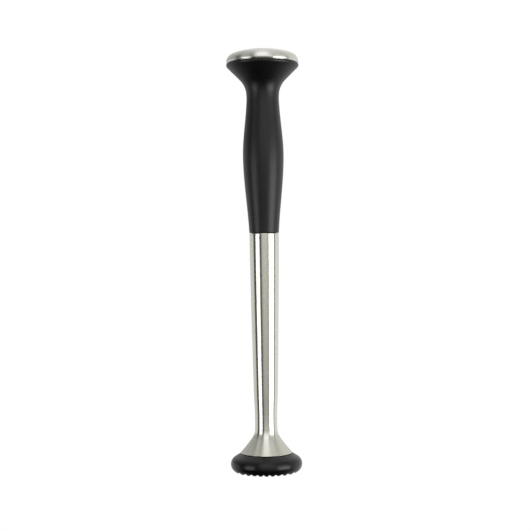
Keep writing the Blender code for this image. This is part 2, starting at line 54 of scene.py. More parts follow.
# --- Fineness ---------------------------------------------------------------------------------
OUTER_STEPS = 192
INNER_STEPS = 96
THREAD_STEPS = 48
CURVE_STEP = 0.35 * MM        # longest edge along a curved stretch of an outline
STRAIGHT_STEP = 6 * MM        # longest edge along a straight one
ROUND_PIECES = 5              # edges across a rounded corner
CORNER_ANGLE = 30             # degrees of turn from which a point of an outline is a corner
STRAIGHT_FACTOR = 1.8         # an edge this many times longer than its neighbours is straight
ROUNDING_SHARE = 0.4          # a rounded corner takes at most this share of the edges beside it
CLOSEST = 0.01 * MM           # points of an outline nearer than this are one
WELD = 0.002 * MM             # places nearer than this are the same
SHARP = 35                    # degrees between faces from which an edge looks sharp
SHARP_DETAIL = 50             # the same on the teeth and the knurl

# --- Rounded corners ----------------------------------------------------------------------------
OUTER_ROUND = 0.35 * MM       # shaft and grip
EDGE_ROUND = 0.25 * MM        # head, cap and core
CARRIER_ROUND = 0.2 * MM
WASHER_ROUND = 0.12 * MM
SMALL_ROUND = 0.1 * MM        # nut, ring and seals
SEAL_CORNER_ANGLE = 70        # degrees, above the 45 between the sides of a seal's section in the CAD model

# --- Teeth of the head --------------------------------------------------------------------------
TOOTH_PITCH = 3.22 * MM
TOOTH_HEIGHT = 1.2 * MM
TOOTH_TIP = 0.9 * MM
GROOVE_ROOT = 0.5 * MM
TOOTH_SOFTNESS = 0.09         # rounding of tips and roots, as a share of a flank
RIDGE_SOFTNESS = 0.10         # rounding of the pyramids' ridges, as a share of the height
FIELD_MARGIN = 0.75 * MM      # from the field's edge in to where the round edge of the head is widest
FIELD_GAP = 0.12 * MM         # between the grid of quads and the field's edge, filled with triangles
GRID_OFFSETS = (0, 0.32, 0.43, 0.54, 0.72, 1.10, 1.27, 1.38)   # grid lines from a tooth's middle, mm
GRID_DIGITS = 9               # decimals of a metre to which grid lines are the same

# --- Inner hardware -----------------------------------------------------------------------------
THREAD_PITCH = 0.8 * MM
THREAD_DEPTH = 0.45 * MM
THREAD_FLANK = 3.2            # depths that a flank of the groove drops in one pitch
THREAD_HALF_MOUTH = 1.25 / THREAD_FLANK   # half the width of the groove's mouth, in pitches
THREAD_ROWS = 8               # rows of vertices in one pitch
THREAD_TOP_LENGTH = 16 * MM
THREAD_FOOT_LENGTH = 12 * MM
KNURL_COUNT = 30
KNURL_DEPTH = 0.14 * MM
KNURL_STEPS = 6               # vertices round each knurl
KNURL_ROW = 0.12 * MM
RIB_COUNT = 6
RIB_THICKNESS = 1.2 * MM
RIB_TOP_GAP = 2 * MM          # between a rib's top and the head's highest edge
RIB_OVERLAP = 0.5 * MM        # how far a rib runs into the walls and the floor
HEXAGON_SPARE = 4 * MM        # how much taller than the nut the shape that trims it is
CARRIER_LEG_AZIMUTH = 45      # degrees, the middle of a leg
CARRIER_SLOT_LENGTH = 8 * MM
CARRIER_SLOT_WIDTH = 1.4 * MM
CARRIER_SLOT_REACH = 16 * MM


# ------------------------------------------------------------------------------------------------
# Outlines: lists of (radius, height) that run down the outer side
# ------------------------------------------------------------------------------------------------

def outline_of(node, azimuth=0.0):
    """The outline of a turned CAD node, from its mesh edges in the half plane at azimuth (degrees)."""
    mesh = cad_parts[node].data
    turn = Matrix.Rotation(-math.radians(azimuth), 3, "Z")
    key_of, points = {}, {}
    for vertex in mesh.vertices:
        x, y, z = turn @ vertex.co
        if abs(y) < WELD and x > -WELD:
            key = (round(x / WELD), round(z / WELD))
            near = [k for k in points if abs(k[0] - key[0]) < 2 and abs(k[1] - key[1]) < 2]
            key = near[0] if near else key
            points[key] = (max(x, 0.0) if x > WELD else 0.0, z)
            key_of[vertex.index] = key
    links = {key: set() for key in points}
    for edge in mesh.edges:
        a, b = (key_of.get(i) for i in edge.vertices)
        if a and b and a != b:
            links[a].add(b)
            links[b].add(a)
    ends = sorted(k for k in points if len(links[k]) == 1)      # where the outline meets the axis
    start = ends[0] if ends else min(points)
    chain, current, before = [start], start, None
    while True:
        following = sorted(k for k in links[current] if k != before and k not in chain[1:])
        if not following or following[0] == start:
            break
        before, current = current, following[0]
        chain.append(current)
    outline = [points[k] for k in chain]
    area = sum(a[0] * b[1] - b[0] * a[1] for a, b in zip(outline, outline[1:] + outline[:1]))
    if area > 0:
        outline.reverse()
    if ends:
        on_axis = [(0.0, outline[0][1]), *outline, (0.0, outline[-1][1])]
        outline = [p for i, p in enumerate(on_axis) if i == 0 or p != on_axis[i - 1]]
    return outline


def directions(outline, ring):
    """Unit direction and length of each edge of an outline. A ring also has an edge back to its start."""
    following = outline[1:] + outline[:1] if ring else outline[1:]
    edges = [Vector((b[0] - a[0], b[1] - a[1])) for a, b in zip(outline, following)]
    return [e.normalized() for e in edges], [e.length for e in edges]


def is_straight(i, lengths, smooth):
    """Whether edge i is a straight stretch: it joins two corners, or is far longer than its neighbours."""
    count = len(lengths)
    neighbours = []
    if smooth[i]:
        neighbours.append(lengths[(i - 1) % count])
    if smooth[(i + 1) % len(smooth)]:
        neighbours.append(lengths[(i + 1) % count])
    return not neighbours or lengths[i] > STRAIGHT_FACTOR * max(neighbours)


def tangent_at(i, ways, lengths, straight, smooth):
    """Direction of the curve at point i: that of a circle through it and its two neighbours."""
    before, after = (i - 1) % len(ways), i % len(ways)
    if straight[before] or not smooth[i]:
        return ways[before]
    if straight[after]:
        return ways[after]
    h0, h1 = lengths[before], lengths[after]
    return ((ways[before] * h1 + ways[after] * h0) / (h0 + h1)).normalized()


def mirrored(way, tangent):
    """The other end's tangent of an arc whose chord runs along way."""
    return (2 * way.dot(tangent) * way - tangent).normalized()


def smooth_points(count, ways, ring, corner_angle):
    """Whether the outline runs on smoothly at each point. The ends of an open outline count as corners."""
    smooth = []
    for i in range(count):
        if not ring and i in (0, count - 1):
            smooth.append(False)
        else:
            turn = ways[(i - 1) % len(ways)].angle(ways[i % len(ways)])
            smooth.append(math.degrees(turn) < corner_angle)
    return smooth


def on_curve(start, end, t0, t1, t):
    """A point of the smooth curve that leaves start along t0 and comes to end along t1."""
    span = (end - start).length
    return (
        start * (2 * t**3 - 3 * t**2 + 1)
        + t0 * (span * (t**3 - 2 * t**2 + t))
        + end * (3 * t**2 - 2 * t**3)
        + t1 * (span * (t**3 - t**2))
    )


def without_doubles(points, ring):
    """The points without those that lie on the one before."""
    slim = []
    for p in points:
        if not slim or (p - slim[-1]).length > CLOSEST:
            slim.append(p)
    if ring and (slim[0] - slim[-1]).length < CLOSEST:
        slim.pop()
    return slim


def refined(outline, ring, rounding, corner_angle=CORNER_ANGLE):
    """The outline with its curved stretches made smooth and its corners rounded."""
    count = len(outline)
    ways, lengths = directions(outline, ring)
    smooth = smooth_points(count, ways, ring, corner_angle)
    straight = [is_straight(i, lengths, smooth) for i in range(len(lengths))]

    def cut(i):
        """How far from corner i its rounding starts."""
        if smooth[i] or (not ring and i in (0, count - 1)):
            return 0.0
        shorter = min(lengths[(i - 1) % len(lengths)], lengths[i % len(lengths)])
        return min(rounding, ROUNDING_SHARE * shorter)

    points = []
    for i, way in enumerate(ways):
        j = (i + 1) % count
        p0, p1 = Vector(outline[i]), Vector(outline[j])
        if straight[i]:
            t0 = t1 = way
        else:
            t0 = tangent_at(i, ways, lengths, straight, smooth) if smooth[i] else None
            t1 = tangent_at(j, ways, lengths, straight, smooth) if smooth[j] else None
            t0 = t0 or mirrored(way, t1)
            t1 = t1 or mirrored(way, t0)
        start, end = p0 + t0 * cut(i), p1 - t1 * cut(j)
        pieces = max(1, math.ceil((end - start).length / (STRAIGHT_STEP if straight[i] else CURVE_STEP)))
        points += [on_curve(start, end, t0, t1, k / pieces) for k in range(pieces + 1)]
        if cut(j) and (ring or j < count - 1):
            after = p1 + ways[j % len(ways)] * cut(j)
            for k in range(1, ROUND_PIECES):
                t = k / ROUND_PIECES
                points.append(end * (1 - t) ** 2 + p1 * (2 * t * (1 - t)) + after * t**2)
    return [(max(p.x, 0.0), p.y) for p in without_doubles(points, ring)]


# ------------------------------------------------------------------------------------------------
# Meshes
# ------------------------------------------------------------------------------------------------

def lathe(bm, outline, steps, ring, shape=None):
    """Makes the faces of a turned surface and returns its rows of vertices.

    shape(radius, height, angle) may change the radius point by point.
    """
    rows = []
    for r, z in outline:
        if r < WELD:
            rows.append([bm.verts.new((0, 0, z))] * steps)
            continue
        row = []
        for k in range(steps):
            angle = 2 * math.pi * k / steps
            radius = shape(r, z, angle) if shape else r
            row.append(bm.verts.new((radius * math.cos(angle), radius * math.sin(angle), z)))
        rows.append(row)
    pairs = list(zip(rows, rows[1:]))
    if ring:
        pairs.append((rows[-1], rows[0]))
    for upper, lower in pairs:
        for k in range(steps):
            n = (k + 1) % steps
            corners = [upper[k], lower[k], lower[n], upper[n]]
            face = [v for i, v in enumerate(corners) if v not in corners[:i]]
            if len(face) > 2:
                bm.faces.new(face)
    return rows


def new_object(name, bm, material=None):
    """An object in the scene, from a mesh in the making."""
    mesh = bpy.data.meshes.new(name)
    bm.normal_update()
    bm.to_mesh(mesh)
    bm.free()
    if material:
        mesh.materials.append(material)
    obj = bpy.data.objects.new(name, mesh)
    bpy.context.scene.collection.objects.link(obj)
    return obj


def shade(mesh, sharp):
    mesh.shade_smooth()
    mesh.set_sharp_from_angle(angle=math.radians(sharp))


def finished(name, bm, material, node, sharp=SHARP):
    """A piece from a mesh in the making, smooth but for sharp edges, which stands for a CAD node."""
    obj = new_object(name, bm, material)
    shade(obj.data, sharp)
    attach(obj, BODY)
    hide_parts(node)
    return obj


def turned(name, node, material, ring, rounding, steps=OUTER_STEPS, azimuth=0.0, corner=CORNER_ANGLE):
    """A fine copy of a turned CAD node. ring says that its outline closes on itself, off the axis."""
    bm = bmesh.new()
    outline = refined(outline_of(node, azimuth), ring, rounding, corner)
    lathe(bm, outline, steps, ring)
    return finished(name, bm, material, node)


def combine(obj, operation, fill):
    """Applies a Boolean of obj with a mesh made by fill(bm)."""
    bm = bmesh.new()
    fill(bm)
    tool = new_object("tool", bm)
    mesh = tool.data
    modifier = obj.modifiers.new("combine", "BOOLEAN")
    modifier.operation = operation
    modifier.object = tool
    with bpy.context.temp_override(object=obj, active_object=obj):
        bpy.ops.object.modifier_apply(modifier=modifier.name)
    bpy.data.objects.remove(tool)
    bpy.data.meshes.remove(mesh)
    shade(obj.data, SHARP)


def add_box(bm, size, centre, turn):
    """A box, turned about Z by turn (radians) and moved to its centre."""
    made = bmesh.ops.create_cube(bm, size=1)["verts"]
    bmesh.ops.scale(bm, vec=size, verts=made)
    bmesh.ops.rotate(bm, verts=made, cent=(0, 0, 0), matrix=Matrix.Rotation(turn, 3, "Z"))
    bmesh.ops.translate(bm, verts=made, vec=centre)


# ------------------------------------------------------------------------------------------------
# The head with its teeth
# ------------------------------------------------------------------------------------------------

def rounding_of(outline):
    """Centre radius and radius of the arc at an outline's widest place."""
    i = max(range(len(outline)), key=lambda k: outline[k])
    (ax, ay), (bx, by), (cx, cy) = outline[i - 1 : i + 2]
    d = 2 * (ax * (by - cy) + bx * (cy - ay) + cx * (ay - by))
    a, b, c = ax * ax + ay * ay, bx * bx + by * by, cx * cx + cy * cy
    centre = (a * (by - cy) + b * (cy - ay) + c * (ay - by)) / d
    height = (a * (cx - bx) + b * (ax - cx) + c * (bx - ax)) / d
    return centre, math.dist((centre, height), (bx, by))


HEAD_OUTLINE = outline_of("head")
ROUND_CENTRE, HEAD_ROUND = rounding_of(HEAD_OUTLINE)
FIELD_RADIUS = ROUND_CENTRE + HEAD_ROUND - FIELD_MARGIN
GROOVES_EACH_SIDE = int(ROUND_CENTRE / TOOTH_PITCH + 0.5)


def soft_clamp(t):
    """0 below 0 and 1 above 1, with both corners rounded."""
    s = TOOTH_SOFTNESS
    return 0.5 * (math.sqrt(t * t + s * s) - math.sqrt((t - 1) ** 2 + s * s) + 1)


def groove_height(u):
    """Height of the grooved surface at distance u from the middle row of teeth."""
    if abs(u) > GROOVES_EACH_SIDE * TOOTH_PITCH:
        return 0.0
    from_groove = abs(abs(u) % TOOTH_PITCH - TOOTH_PITCH / 2)
    half_mouth = (TOOTH_PITCH - TOOTH_TIP) / 2
    flank = half_mouth - GROOVE_ROOT / 2
    return TOOTH_HEIGHT * max(soft_clamp((half_mouth - from_groove) / flank), 0)


def soft_max(a, b):
    """The larger of two heights, with the ridge between them rounded."""
    width = RIDGE_SOFTNESS * max(a, b)
    return 0.5 * (a + b + math.sqrt((a - b) ** 2 + width**2))


def plain_height(x, y):
    """Underside of the head without teeth: flat, then the round edge."""
    out = max(math.hypot(x, y) - ROUND_CENTRE, 0.0)
    return HEAD_ROUND - math.sqrt(HEAD_ROUND**2 - out * out)


def field_height(x, y):
    """Underside of the head with its teeth."""
    teeth = soft_max(groove_height(x), groove_height(y))
    return soft_max(teeth, plain_height(x, y))


def grid_lines():
    """Places of the tooth field's grid lines, the same along X and Y: close together where a flank bends."""
    lines = set()
    reach = math.ceil(FIELD_RADIUS / TOOTH_PITCH) + 1
    for k in range(-reach, reach + 1):
        lines.add(round((k + 0.5) * TOOTH_PITCH, GRID_DIGITS))
        for offset in GRID_OFFSETS:
            lines.add(round(k * TOOTH_PITCH + offset * MM, GRID_DIGITS))
            lines.add(round(k * TOOTH_PITCH - offset * MM, GRID_DIGITS))
    return sorted(u for u in lines if abs(u) < FIELD_RADIUS)


def add_tooth_field(bm, rim):
    """The toothed underside: a grid of quads, joined to the ring of vertices at its edge."""
    lines = grid_lines()
    inner = FIELD_RADIUS - FIELD_GAP
    verts = {}
    for i, x in enumerate(lines):
        for j, y in enumerate(lines):
            if math.hypot(x, y) < inner:
                verts[i, j] = bm.verts.new((x, y, field_height(x, y)))
    cells = []
    for i, j in verts:
        corners = [verts.get(c) for c in ((i, j), (i, j + 1), (i + 1, j + 1), (i + 1, j))]
        if all(corners):
            cells.append(bm.faces.new(corners))
    used = {v for face in cells for v in face.verts}
    for vertex in verts.values():
        if vertex not in used:
            bm.verts.remove(vertex)
    stairs = [e for face in cells for e in face.edges if len(e.link_faces) == 1]
    ring = [bm.edges.get((rim[k], rim[(k + 1) % len(rim)])) for k in range(len(rim))]
    bmesh.ops.triangle_fill(bm, use_beauty=True, edges=[*stairs, *ring], normal=(0, 0, -1))


def upper_outline():
    """The head's outline from the axis, through its hollow and out to where the round edge starts."""
    upper = []
    for r, z in HEAD_OUTLINE:
        upper.append((r, z))
        if abs(math.dist((r, z), (ROUND_CENTRE, HEAD_ROUND)) - HEAD_ROUND) < WELD:
            break
    return upper


def add_ribs(head, upper):
    """Ribs in the head's hollow, from the boss in its middle to its wall."""
    floor_z = min(z for r, z in upper if r < ROUND_CENTRE / 2)
    top_z = max(z for r, z in upper)
    boss, wall = sorted({round(r, 6) for r, z in upper if abs(z - floor_z) < WELD})[-2:]
    middle = (boss + wall) / 2
    height = top_z - RIB_TOP_GAP - floor_z + RIB_OVERLAP
    size = (wall - boss + 2 * RIB_OVERLAP, RIB_THICKNESS, height)

    def ribs(tool):
        for k in range(RIB_COUNT):
            turn = 2 * math.pi * (k + 0.5) / RIB_COUNT
            centre = (middle * math.cos(turn), middle * math.sin(turn), floor_z - RIB_OVERLAP + height / 2)
            add_box(tool, size, centre, turn)

    combine(head, "UNION", ribs)


def make_head(material):
    upper = upper_outline()
    start = math.asin((upper[-1][1] - HEAD_ROUND) / HEAD_ROUND)
    end = math.asin((FIELD_RADIUS - ROUND_CENTRE) / HEAD_ROUND) - math.pi / 2
    outline = refined(upper, False, EDGE_ROUND)
    pieces = math.ceil(HEAD_ROUND * (start - end) / CURVE_STEP)
    for k in range(1, pieces + 1):
        angle = start + (end - start) * k / pieces
        outline.append((ROUND_CENTRE + HEAD_ROUND * math.cos(angle), HEAD_ROUND * (1 + math.sin(angle))))
    bm = bmesh.new()
    rows = lathe(bm, outline, OUTER_STEPS, ring=False)
    add_tooth_field(bm, rows[-1])
    head = finished("head_fine", bm, material, "head", SHARP_DETAIL)
    add_ribs(head, upper)


# ------------------------------------------------------------------------------------------------
# Inner hardware
# ------------------------------------------------------------------------------------------------

def with_rows(outline, low, high, step):
    """The outline with extra points along its outer side between two heights."""
    dense = []
    for a, b in zip(outline, outline[1:] + outline[:1]):
        dense.append(a)
        steep = abs(a[0] - b[0]) < WELD and a[0] > 0
        if steep and a[1] > b[1] and a[1] > low and b[1] < high:
            top, bottom = min(a[1], high), max(b[1], low)
            pieces = max(1, math.ceil((top - bottom) / step))
            for k in range(pieces + 1):
                z = top + (bottom - top) * k / pieces
                if b[1] + WELD < z < a[1] - WELD:
                    dense.append((a[0], z))
    return dense


def make_tie_rod(material):
    """The rod, with a helical thread at each end that runs out towards the plain shank."""
    low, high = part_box("tie_rod")
    foot_end = low.z + THREAD_FOOT_LENGTH
    top_start = high.z - THREAD_TOP_LENGTH
    radius = high.x

    def thread(r, z, angle):
        if foot_end < z < top_start or r < radius - WELD:
            return r
        phase = (z / THREAD_PITCH - angle / (2 * math.pi)) % 1
        runout = min(abs(z - foot_end), abs(z - top_start)) / THREAD_PITCH
        groove = min(1, max(0, (THREAD_HALF_MOUTH - abs(phase - 0.5)) * THREAD_FLANK))
        return r - THREAD_DEPTH * min(1, runout) * groove

    row = THREAD_PITCH / THREAD_ROWS
    outline = with_rows(outline_of("tie_rod"), low.z, foot_end, row)
    outline = with_rows(outline, top_start, high.z, row)
    bm = bmesh.new()
    lathe(bm, outline, THREAD_STEPS, False, thread)
    finished("tie_rod_fine", bm, material, "tie_rod")


def make_insert(material):
    """The threaded insert, cross-knurled with two sets of grooves at 45 degrees."""
    low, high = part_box("head_insert")
    radius = high.x

    def knurl(r, z, angle):
        if r < radius - WELD:
            return r
        lean = (z - low.z) / (radius * 2 * math.pi / KNURL_COUNT)
        first = abs(((angle / (2 * math.pi)) * KNURL_COUNT + lean) % 1 - 0.5)
        second = abs(((angle / (2 * math.pi)) * KNURL_COUNT - lean) % 1 - 0.5)
        return r - KNURL_DEPTH * (1 - 2 * min(first, second))

    outline = with_rows(outline_of("head_insert"), low.z, high.z, KNURL_ROW)
    bm = bmesh.new()
    lathe(bm, outline, KNURL_COUNT * KNURL_STEPS, True, knurl)
    finished("head_insert_fine", bm, material, "head_insert", SHARP_DETAIL)


def nut_turn(high):
    """Turns a hexagon whose corners lie on Y so that they lie where the CAD nut has them."""
    return Matrix.Rotation(0 if high.y > high.x else math.pi / 6, 3, "Z")


def make_nut(material):
    """The nut, with a known fault: its outline is read at azimuth 0, in the middle of a flat, where the CAD
    nut has no edge to follow. It breaks off there, so the hexagon is missing and a plug fills the bore. Read
    at azimuth 90, through a corner, the outline is whole.
    """
    low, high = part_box("rod_nut")
    nut = turned("rod_nut_fine", "rod_nut", material, True, SMALL_ROUND, INNER_STEPS)
    corner = max(high.x, high.y)

    def hexagon(tool):
        depth = high.z - low.z + HEXAGON_SPARE
        bmesh.ops.create_cone(tool, cap_ends=True, segments=6, radius1=corner, radius2=corner, depth=depth)
        bmesh.ops.rotate(tool, verts=tool.verts, cent=(0, 0, 0), matrix=nut_turn(high))
        bmesh.ops.translate(tool, verts=tool.verts, vec=(0, 0, (low.z + high.z) / 2))

    combine(nut, "INTERSECT", hexagon)


def make_carrier(material):
    """The plug under the cap, with two crossing slots that part its lower end into four legs."""
    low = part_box("cap_carrier")[0]
    carrier = turned(
        "cap_carrier_fine",
        "cap_carrier",
        material,
        False,
        CARRIER_ROUND,
        INNER_STEPS,
        CARRIER_LEG_AZIMUTH,
    )
    size = (CARRIER_SLOT_REACH, CARRIER_SLOT_WIDTH, 2 * CARRIER_SLOT_LENGTH)

    def slot_along_x(tool):
        add_box(tool, size, (0, 0, low.z), 0)

    def slot_along_y(tool):
        add_box(tool, size, (0, 0, low.z), math.pi / 2)

    combine(carrier, "DIFFERENCE", slot_along_x)
    combine(carrier, "DIFFERENCE", slot_along_y)


# ------------------------------------------------------------------------------------------------
# Materials
# ------------------------------------------------------------------------------------------------

# A ..._GLOSS is how far the roughness varies either way, and a ..._BUMP is the strength of a bump.
AXIS_CLEARANCE = 0.1 * MM     # radius below which the brush lines don't get any closer together
FINE_LINES, FINE_BREAKS = 5200, 5       # brush lines: how dense, and how often broken up along their way
BROAD_LINES, BROAD_BREAKS = 1100, 3     # bands of tone along them
BRUSH_BUMP, BRUSH_DEPTH, BRUSH_GLOSS = 0.3, 0.0015 * MM, 0.03
PATCH_SCALE = 70              # of the change of tone on a moulded surface
GRAIN_BUMP, MOULDED_GLOSS = 0.4, 0.04
MOTTLE_BUMP, MOTTLE_DEPTH, MOTTLE_GLOSS = 0.2, 0.01 * MM, 0.07


def math_node(tree, operation, a, b=None):
    """Result of a sum in nodes. a and b are numbers or sockets."""
    node = tree.nodes.new("ShaderNodeMath")
    node.operation = operation
    for socket, value in zip(node.inputs, (a, b)):
        if isinstance(value, (int, float)):
            socket.default_value = value
        elif value is not None:
            tree.links.new(value, socket)
    return node.outputs[0]


def mix_node(tree, factor):
    """A colour mix: its two colour inputs and its result."""
    node = tree.nodes.new("ShaderNodeMix")
    node.data_type = "RGBA"
    sockets = {socket.identifier: socket for socket in node.inputs}
    tree.links.new(factor, sockets["Factor_Float"])
    result = next(socket for socket in node.outputs if socket.type == "RGBA")
    return sockets["A_Color"], sockets["B_Color"], result


class Graph:
    """A material's nodes, with short ways to add the usual ones."""

    def __init__(self, name, roughness, metallic=0.0):
        self.material = bpy.data.materials.new(name)
        self.material.use_nodes = True
        self.tree = self.material.node_tree
        self.shader = self.tree.nodes["Principled BSDF"]
        self.shader.inputs["Roughness"].default_value = roughness
        self.shader.inputs["Metallic"].default_value = metallic
        self.place = self.add("ShaderNodeTexCoord").outputs["Object"]

    def add(self, kind, **settings):
        node = self.tree.nodes.new(kind)
        for key, value in settings.items():
            setattr(node, key, value)
        return node

    def link(self, source, target):
        self.tree.links.new(source, target)

    def math(self, operation, a, b=None):
        return math_node(self.tree, operation, a, b)

    def noise(self, vector, scale, detail, rough, w=None):
        """A noise texture at a place, or at a place and w, its fourth coordinate."""
        node = self.add("ShaderNodeTexNoise", noise_dimensions="4D" if w else "3D")
        node.inputs["Scale"].default_value = scale
        node.inputs["Detail"].default_value = detail
        node.inputs["Roughness"].default_value = rough
        self.link(vector, node.inputs["Vector"])
        if w:
            self.link(w, node.inputs["W"])
        return node.outputs[0]

    def spread(self, value, low, high):
        """Maps a noise value, which mostly lies between 0.3 and 0.7, to a range."""
        node = self.add("ShaderNodeMapRange")
        limits = {"From Min": 0.3, "From Max": 0.7, "To Min": low, "To Max": high}
        for name, number in limits.items():
            node.inputs[name].default_value = number
        self.link(value, node.inputs["Value"])
        return node.outputs[0]

    def colours(self, value, low, high):
        """Base colour that runs from low to high as value goes from 0 to 1."""
        first, second, result = mix_node(self.tree, value)
        first.default_value = (*low, 1)
        second.default_value = (*high, 1)
        self.link(result, self.shader.inputs["Base Color"])

    def gloss(self, value, middle, either_way):
        """Roughness that varies either way from its middle."""
        roughness = self.spread(value, middle - either_way, middle + either_way)
        self.link(roughness, self.shader.inputs["Roughness"])

    def bump(self, height, strength, distance):
        """A bump over the whole surface. distance is its depth in metres."""
        node = self.add("ShaderNodeBump")
        node.inputs["Strength"].default_value = strength
        node.inputs["Distance"].default_value = distance
        self.link(height, node.inputs["Height"])
        self.link(node.outputs[0], self.shader.inputs["Normal"])

    def round_place(self, fine, along):
        """A place and a w at which a noise becomes lines round the axis, broken up along their way."""
        xyz = self.add("ShaderNodeSeparateXYZ")
        self.link(self.place, xyz.inputs[0])
        x, y, z = xyz.outputs
        squares = self.math("ADD", self.math("MULTIPLY", x, x), self.math("MULTIPLY", y, y))
        radius = self.math("MAXIMUM", self.math("SQRT", squares), AXIS_CLEARANCE)
        joined = self.add("ShaderNodeCombineXYZ")
        self.link(self.math("MULTIPLY", radius, fine), joined.inputs[0])
        self.link(self.math("MULTIPLY", z, fine), joined.inputs[1])
        self.link(self.math("MULTIPLY", self.math("DIVIDE", x, radius), along), joined.inputs[2])
        return joined.outputs[0], self.math("MULTIPLY", self.math("DIVIDE", y, radius), along)


def brushed_steel(name, dark, light, roughness, anisotropic):
    """Stainless steel brushed round the axis: fine lines, and a highlight drawn out across them."""
    g = Graph(name, roughness, metallic=1.0)
    g.shader.inputs["Anisotropic"].default_value = anisotropic
    g.shader.inputs["Anisotropic Rotation"].default_value = 0.25
    tangent = g.add("ShaderNodeTangent", direction_type="RADIAL", axis="Z")
    g.link(tangent.outputs[0], g.shader.inputs["Tangent"])
    fine_place, fine_w = g.round_place(FINE_LINES, FINE_BREAKS)
    fine = g.noise(fine_place, 1.0, detail=2, rough=0.6, w=fine_w)
    broad_place, broad_w = g.round_place(BROAD_LINES, BROAD_BREAKS)
    broad = g.noise(broad_place, 1.0, detail=3, rough=0.6, w=broad_w)
    g.colours(g.spread(broad, 0, 1), dark, light)
    g.gloss(fine, roughness, BRUSH_GLOSS)
    g.bump(fine, BRUSH_BUMP, BRUSH_DEPTH)
    return g.material


def moulded(name, dark, light, roughness, grain, grain_depth, specular=0.5):
    """A moulded surface: an even fine grain, and a faint change of tone and gloss from place to place."""
    g = Graph(name, roughness)
    g.shader.inputs["Specular IOR Level"].default_value = specular
    patches = g.noise(g.place, PATCH_SCALE, detail=3, rough=0.55)
    fine = g.noise(g.place, 1 / grain, detail=2, rough=0.5)
    g.colours(g.spread(patches, 0, 1), dark, light)
    tone = g.math("ADD", g.math("MULTIPLY", patches, 0.6), g.math("MULTIPLY", fine, 0.4))
    g.gloss(tone, roughness, MOULDED_GLOSS)
    g.bump(fine, GRAIN_BUMP, grain_depth)
    return g.material


def plated(name, dark, light, roughness, scale):
    """A plated or cast metal with a faintly mottled surface."""
    g = Graph(name, roughness, metallic=1.0)
    mottle = g.noise(g.place, scale, detail=3, rough=0.6)
    g.colours(g.spread(mottle, 0, 1), dark, light)
    g.gloss(mottle, roughness, MOTTLE_GLOSS)
    g.bump(mottle, MOTTLE_BUMP, MOTTLE_DEPTH)
    return g.material


# ------------------------------------------------------------------------------------------------
# The studio
# ------------------------------------------------------------------------------------------------

CAMERA_DISTANCE = 0.650
CAMERA_HEIGHT = 0.1156
CAMERA_SIDE = 0.0003
CAMERA_RAISE = -0.29          # degrees up
CAMERA_ROLL = 0.615           # degrees, to the right
LENS = 81.4
SENSOR_WIDTH = 36
CLIP = (0.01, 20)             # nearest and farthest that the camera sees

# What the object sees of the studio besides the panels: {degrees up: {degrees from the camera's side,
# positive to the right: brightness}}. Around eye level there is light behind the camera, a dark stretch to
# each side of it, bright light beyond these, and less behind the object. Higher up, a light lies above the
# camera, under a white ceiling.
STUDIO = {
    -75: {-180: 0.05, -60: 0.01, 60: 0.02, 180: 0.05},
    -40: {-180: 0.70, -128: 0.40, -100: 0.12, -75: 0.02, 60: 0.03, 100: 0.34, 128: 0.70, 180: 0.70},
    -12: {
        -180: 0.50, -140: 0.82, -96: 0.72, -94: 0.08, -24: 0.10, -21: 0.38, -4: 0.46, 12: 0.46, 32: 0.38,
        35: 0.25, 80: 0.25, 93: 0.30, 97: 1.02, 140: 1.00, 180: 0.55,
    },
    3: {
        -180: 0.50, -130: 0.93, -97: 0.90, -94: 0.10, -24: 0.12, -21: 0.70, -4: 0.86, 12: 0.86, 32: 0.68,
        35: 0.30, 80: 0.30, 93: 0.40, 97: 0.98, 130: 0.98, 180: 0.55,
    },
    9: {
        -180: 0.42, -130: 0.48, -97: 0.42, -94: 0.08, -24: 0.12, -21: 0.78, -4: 0.93, 12: 0.93, 32: 0.74,
        35: 0.32, 80: 0.36, 93: 0.42, 97: 0.90, 130: 0.88, 180: 0.60,
    },
    25: {
        -180: 0.92, -125: 0.44, -98: 0.36, -93: 0.12, -80: 0.14, -70: 0.30, -45: 0.22, -28: 0.20,
        -22: 1.22, 28: 1.22, 36: 0.40, 70: 0.70, 88: 0.45, 100: 0.75, 180: 0.92,
    },
    50: {
        -180: 0.92, -119: 0.62, -100: 0.44, -90: 0.38, -75: 0.82, -54: 0.40, -34: 0.36, -20: 1.45,
        16: 1.50, 34: 0.60, 61: 0.80, 88: 0.50, 112: 0.82, 180: 0.94,
    },
    72: {
        -180: 0.95, -110: 0.62, -60: 0.58, -38: 0.66, -24: 1.12, 22: 1.16, 38: 0.82, 90: 0.74, 140: 0.84,
        180: 0.95,
    },
    88: {-180: 1.00, 180: 1.00},
}
BRIGHTEST = 2.0               # the ramps hold shares of this
COOL_FROM, COOL = 1.05, 1.05  # stops brighter than this are bluer by this factor

# Two upright lit panels, in front of the object to the left and right of the camera: degrees from the
# camera's side, and brightness. Each is brightest in its lower part and fades upwards, as PANEL_SHARES says:
# {height: share of the panel's brightness}.
PANELS = {"panel_left": ((-70.5, -39.5), 2.4), "panel_right": ((37.5, 79), 4.0)}
PANEL_DISTANCE = 0.60
PANEL_SHARES = {-0.20: 1.0, 0.145: 1.0, 0.22: 0.48, 0.30: 0.26, 0.40: 0.18, 0.50: 0.22, 0.70: 0.10}
PANEL_LOW, PANEL_HIGH = min(PANEL_SHARES), max(PANEL_SHARES)
PANEL_FACES = 8               # side by side, round its curve

FLOOR_REACH = 4.0
FLOOR_DROP = 0.3 * MM         # below the tooth tips


